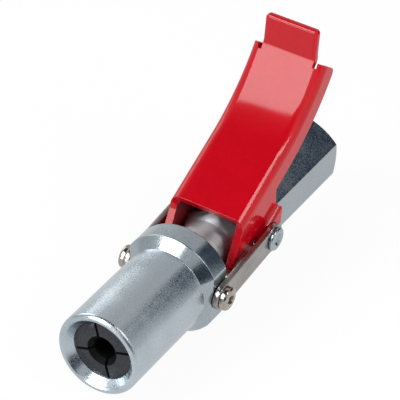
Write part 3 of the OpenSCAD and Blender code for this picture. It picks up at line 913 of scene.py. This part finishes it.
@dataclass
class Fasteners:
    """The collar screws and the ear rivets, turned about cross axes.

    Their profiles run outwards: a place along the axis is a distance from the middle plane. The
    dimple's wall and floor are given as radius and depth.
    """

    screw: Pair = (35.6, 0.0)
    rivet: Pair = (59.5, 2.8)
    head_in: float = 13.3
    screw_shank_r: float = 1.75
    screw_tip: float = 8.08
    screw_tip_r: float = 0.6
    screw_head_r: float = 3.0
    screw_head_h: float = 1.7
    screw_crown_r: float = 1.9
    recess_r: float = 1.26
    recess_bay: float = 0.2
    # The recess, from the head's top inwards: share of the recess's radius, and depth.
    recess: tuple[Pair, ...] = ((1.06, 0.0), (1.0, 0.08), (0.97, 0.95), (0.9, 1.0), (0.3, 1.12))
    rivet_shank_r: float = 2.0
    rivet_foot: float = 8.3
    rivet_foot_r: float = 2.5
    rivet_foot_cap_r: float = 0.8
    rivet_head_r: float = 3.05
    rivet_head_h: float = 1.0
    dimple_r: float = 1.75
    dimple_wall: Pair = (1.0, 0.6)
    dimple_floor: Pair = (0.3, 0.75)
    ear_in: float = 9.6
    ear_gap: float = 0.02
    crisp_angle: float = 40.0
    angles: int = 96

    def lobes(self) -> np.ndarray:
        """Radius of the six-lobe recess: a circle with six round bays, by a raised cosine."""
        angle = np.linspace(0.0, 2.0 * np.pi, self.angles, endpoint=False)
        return self.recess_r + self.recess_bay * np.cos(6.0 * angle)

    def screw_rows(self) -> tuple[np.ndarray, np.ndarray]:
        """Rows of a pan-head screw: shank and head, then down into the recess.

        Returns:
            Radius of each row at each angle, and the rows' places along the axis.
        """
        top = self.head_in + self.screw_head_h
        outside = rounded([
            (self.screw_tip_r, self.screw_tip, 0.0), (self.screw_shank_r, self.screw_tip, 0.35),
            (self.screw_shank_r, self.head_in, 0.1), (self.screw_head_r, self.head_in, 0.2),
            (self.screw_head_r, top, 0.85), (self.screw_crown_r, top, 0.0)], steps=7)
        share, depth = np.array(self.recess).T
        radius = np.concatenate([outside[:, :1] * np.ones((1, self.angles)), share[:, None] * self.lobes()])
        return radius, np.concatenate([outside[:, 1], top - depth])

    def rivet_rows(self) -> tuple[np.ndarray, np.ndarray]:
        """Rows of a rivet: foot behind the ear, shank, head and the dimple in it.

        Returns:
            Radius of each row at each angle, and the rows' places along the axis.
        """
        ear = self.ear_in - self.ear_gap
        crown = self.head_in + self.rivet_head_h
        profile = rounded([
            (self.rivet_foot_cap_r, self.rivet_foot, 0.0), (self.rivet_foot_r, self.rivet_foot, 0.3),
            (self.rivet_foot_r, ear, 0.05), (self.rivet_shank_r, ear, 0.05),
            (self.rivet_shank_r, self.head_in, 0.05), (self.rivet_head_r, self.head_in, 0.15),
            (self.rivet_head_r, crown, 0.55), (self.dimple_r, crown, 0.3),
            (self.dimple_wall[0], crown - self.dimple_wall[1], 0.35),
            (self.dimple_floor[0], crown - self.dimple_floor[1], 0.0)], steps=7)
        return profile[:, :1] * np.ones((1, self.angles)), profile[:, 1]

    def closed(self, name: str, rows: tuple[np.ndarray, np.ndarray], axis: Axis, centre: Pair, body: str,
               node: str, finish: Finish) -> None:
        """Makes a turned fastener with a flat cap on each end.

        Args:
            name: the piece's name.
            rows: radius of each row at each angle, and the rows' places along the axis.
            axis: the cross axis.
            centre: station and height of the axis.
            body: the body it rides on.
            node: the node it stands for.
            finish: its finish.
        """
        radius, along = rows
        points = turned(radius, along, axis, centre)
        last = radius.size - self.angles
        faces = grid_faces(radius.shape[0], self.angles, False, True).tolist()
        faces.append(list(range(self.angles)))
        faces.append(list(range(last, radius.size)))
        made = dressed(name, skin(points, faces), body, [node], [finish])
        crisp(made, self.crisp_angle)

    def build(self) -> None:
        """Makes both screws and both rivets."""
        screw = self.screw_rows()
        rivet = self.rivet_rows()
        for side, axis in (("right", Axis.CROSS_RIGHT), ("left", Axis.CROSS_LEFT)):
            self.closed("six_lobe_screw_" + side, screw, axis, self.screw, "sleeve",
                        "link_screw_" + side, NICKEL)
            self.closed("dimpled_rivet_" + side, rivet, axis, self.rivet, "lever",
                        "link_rivet_" + side, ZINC)


@dataclass
class Linkage:
    """The two flat links and the studs that the lever turns on."""

    link_edge: float = 0.22
    stud_edge: float = 0.12

    def build(self) -> None:
        """Eases the edges of the links and studs."""
        for side in ("right", "left"):
            eased_copy("link_" + side, "link_" + side, [STAINLESS], self.link_edge)
            eased_copy("pivot_stud_" + side, "body", [STAINLESS], self.stud_edge)


@dataclass
class JawSet:
    """The four black jaws in the nozzle's mouth."""

    edge: float = 0.16
    count: int = 4
    front: float = 2.2
    front_gap: float = 0.05
    bore_r: float = 3.95

    def shade_bore(self, mesh: bpy.types.Mesh) -> None:
        """Gives the faces behind the front and inside the lead-in's rim the second finish, the near black of
        painted shade.

        Args:
            mesh: a jaw's mesh.
        """
        x, y, z = face_centres(mesh).T
        behind = y > (self.front + self.front_gap - LENGTH) * MM
        paint_second(mesh, behind & (np.hypot(x, z) < self.bore_r * MM))

    def build(self) -> None:
        """Eases the edges of each jaw and darkens its bore with painted shade."""
        for i in range(1, self.count + 1):
            made = eased_copy(f"jaw_{i}", f"jaw_{i}", [BLACK, BLACK_BORE_SHADE], self.edge)
            self.shade_bore(made.data)


@dataclass
class InnerPieces:
    """What is out of sight inside: seals, springs and the check valve."""

    rubber: tuple[str, ...] = ("nozzle_seal", "seal_holder_o_ring", "stem_o_ring", "jaw_ring")
    wire: tuple[str, ...] = ("main_spring", "seal_spring", "check_spring")
    nickel: tuple[str, ...] = ("seal_holder", "check_ball", "check_seat")
    sheet: tuple[str, ...] = ("main_spring_washer",)

    def build(self) -> None:
        """Gives each inner solid its finish."""
        for names, finish in ((self.rubber, RUBBER), (self.wire, WIRE), (self.nickel, NICKEL),
                              (self.sheet, STAINLESS)):
            for name in names:
                repaint(name, finish)


@dataclass
class Studio:
    """Floor, soft light, dark cards and the camera.

    The sky has one level up to a height and darkens from there to the zenith, where a height is the
    upward part of a direction. Mirrors see the floor at the level in mirrored.
    """

    azimuth: float = 27.57
    elevation: float = 36.29
    roll: float = 4.91
    distance: float = 593.0
    target: Triple = (0.0, -58.1, 17.84)
    lens: float = 225.0
    sensor: float = 36.0
    near: float = 10.0
    floor_z: float = -13.6
    floor_half: float = 3000.0
    floor_white: float = 0.92
    mirrored: float = 0.76
    sky: float = 0.62
    zenith: float = 0.04
    dusk: Pair = (0.72, 0.94)

    def camera(self) -> None:
        """Sets the camera: it looks at the target from the given angles and is rolled about its view."""
        a, e, q = np.radians([self.azimuth, self.elevation, self.roll])
        view = np.array([np.sin(a) * np.cos(e), -np.cos(a) * np.cos(e), np.sin(e)])
        right = np.array([np.cos(a), np.sin(a), 0.0])
        up = np.cross(view, right)
        matrix = np.eye(4)
        matrix[:3, 0] = np.cos(q) * right + np.sin(q) * up
        matrix[:3, 1] = np.cos(q) * up - np.sin(q) * right
        matrix[:3, 2] = view
        matrix[:3, 3] = (np.array(self.target) + self.distance * view) * MM
        data = bpy.data.cameras.new("camera")
        data.lens = self.lens
        data.sensor_width = self.sensor
        data.clip_start = self.near * MM
        made = bpy.data.objects.new("camera", data)
        made.matrix_world = Matrix(matrix.tolist())
        bpy.context.scene.collection.objects.link(made)
        bpy.context.scene.camera = made

    def aim(self, made: bpy.types.Object, place: Triple, axis: str) -> None:
        """Puts a lamp or card at a place and turns its axis to the target.

        Args:
            made: the lamp or card.
            place: its place in mm.
            axis: the axis that faces the target, "Z" or "-Z".
        """
        made.location = Vector(place) * MM
        made.rotation_euler = (Vector(self.target) - Vector(place)).to_track_quat(axis, "Y").to_euler()
        bpy.context.scene.collection.objects.link(made)

    def lamp(self, name: str, place: Triple, size: Pair, power: float, seen: bool = True) -> None:
        """Adds a soft rectangular lamp that faces the object.

        Args:
            name: the lamp's name.
            place: its place in mm.
            size: its width and height in mm.
            power: its power in watts.
            seen: whether the shiny surfaces mirror it.
        """
        data = bpy.data.lights.new(name, "AREA")
        data.shape = "RECTANGLE"
        data.size = size[0] * MM
        data.size_y = size[1] * MM
        data.energy = power
        made = bpy.data.objects.new(name, data)
        made.visible_glossy = seen
        self.aim(made, place, "-Z")

    def rectangle(self, name: str, size: Pair, z: float = 0.0) -> bpy.types.Object:
        """Makes a flat upward-facing rectangle about the origin.

        Args:
            name: the rectangle's name.
            size: its width and height in mm.
            z: its height in mm.

        Returns:
            The new object, not yet in the scene.
        """
        w = size[0] * MM / 2.0
        h = size[1] * MM / 2.0
        corners = [(x, y, z * MM) for x, y in ((-w, -h), (w, -h), (w, h), (-w, h))]
        mesh = bpy.data.meshes.new(name)
        mesh.from_pydata(corners, [], [(0, 1, 2, 3)])
        return bpy.data.objects.new(name, mesh)

    def card(self, name: str, place: Triple, size: Pair) -> None:
        """Adds a dark card that only the shiny surfaces see.

        Args:
            name: the card's name.
            place: its centre in mm.
            size: its width and height in mm.
        """
        made = self.rectangle(name, size)
        made.visible_camera = False
        made.visible_diffuse = False
        made.visible_shadow = False
        made.data.materials.append(FELT.material())
        self.aim(made, place, "Z")

    def floor(self) -> None:
        """Adds a wide pale floor, white from above but for the object's soft shadow, clear from below."""
        made = self.rectangle("floor", (2.0 * self.floor_half, 2.0 * self.floor_half), self.floor_z)
        bpy.context.scene.collection.objects.link(made)
        paper = bpy.data.materials.new("white_paper_sweep")
        tree = empty_tree(paper)
        path = add_node(tree, "ShaderNodeLightPath", {}, {})
        direct = add_node(tree, "ShaderNodeMath", {"operation": "MAXIMUM"}, {
            0: path.outputs["Is Camera Ray"], 1: path.outputs["Is Glossy Ray"]})
        share = add_node(tree, "ShaderNodeMath", {"operation": "MULTIPLY"}, {
            0: direct.outputs["Value"], 1: self.floor_white})
        matt = add_node(tree, "ShaderNodeBsdfDiffuse", {}, {"Color": linear("#F2F2F2")})
        level = add_node(tree, "ShaderNodeMath", {"operation": "MULTIPLY_ADD"}, {
            0: path.outputs["Is Glossy Ray"], 1: self.mirrored - 1.0, 2: 1.0})
        glow = add_node(tree, "ShaderNodeEmission", {}, {
            "Color": linear("#FFFFFF"), "Strength": level.outputs["Value"]})
        mix = add_node(tree, "ShaderNodeMixShader", {}, {
            0: share.outputs["Value"], 1: matt.outputs["BSDF"], 2: glow.outputs["Emission"]})
        side = add_node(tree, "ShaderNodeNewGeometry", {}, {})
        clear = add_node(tree, "ShaderNodeBsdfTransparent", {}, {})
        one_way = add_node(tree, "ShaderNodeMixShader", {}, {
            0: side.outputs["Backfacing"], 1: mix.outputs["Shader"], 2: clear.outputs["BSDF"]})
        add_node(tree, "ShaderNodeOutputMaterial", {}, {"Surface": one_way.outputs["Shader"]})
        made.data.materials.append(paper)

    def world(self) -> None:
        """Lights the scene evenly, with a dark zenith, and shows white to the camera."""
        world = bpy.data.worlds.new("studio")
        bpy.context.scene.world = world
        tree = empty_tree(world)
        path = add_node(tree, "ShaderNodeLightPath", {}, {})
        place = add_node(tree, "ShaderNodeTexCoord", {}, {})
        split = add_node(tree, "ShaderNodeSeparateXYZ", {}, {0: place.outputs["Generated"]})
        height = add_node(tree, "ShaderNodeMapRange", {"interpolation_type": "SMOOTHSTEP"}, {
            "Value": split.outputs["Z"], "From Min": self.dusk[0], "From Max": self.dusk[1],
            "To Min": self.sky, "To Max": self.zenith})
        level = add_node(tree, "ShaderNodeMath", {"operation": "MAXIMUM"}, {
            0: path.outputs["Is Camera Ray"], 1: height.outputs["Result"]})
        glow = add_node(tree, "ShaderNodeBackground", {}, {
            "Color": linear("#FFFFFF"), "Strength": level.outputs["Value"]})
        add_node(tree, "ShaderNodeOutputWorld", {}, {"Surface": glow.outputs["Background"]})

    def build(self) -> None:
        """Sets up the whole studio."""
        bpy.context.scene.view_settings.view_transform = "Standard"
        self.world()
        self.floor()
        self.lamp("key", (-224.0, -454.0, 408.0), (360.0, 400.0), 2.4)
        self.lamp("left_fill", (-420.0, 120.0, 260.0), (300.0, 300.0), 0.5)
        self.lamp("front_low", (-224.0, -604.0, 90.0), (220.0, 150.0), 0.42)
        self.lamp("fold_strip", (230.0, -50.0, 360.0), (60.0, 260.0), 0.3)
        self.lamp("right_fill", (420.0, -100.0, 200.0), (300.0, 300.0), 0.85, seen=False)
        self.card("rear_card", (80.0, 95.0, 55.0), (150.0, 130.0))
        self.card("upper_card", (88.0, 78.0, 136.0), (60.0, 56.0))
        self.card("right_card", (175.0, -225.0, 75.0), (230.0, 130.0))
        self.camera()


def main() -> None:
    """Builds the studio and every sub-assembly."""
    logging.basicConfig(level=logging.INFO, format="%(name)s: %(message)s")
    Studio().build()
    for assembly in (CouplerBody(), OuterSleeve(), JawSet(), Lever(), Linkage(), Fasteners(), InnerPieces()):
        assembly.build()
        LOG.info("%s done", type(assembly).__name__)


if __name__ == "__main__":
    main()
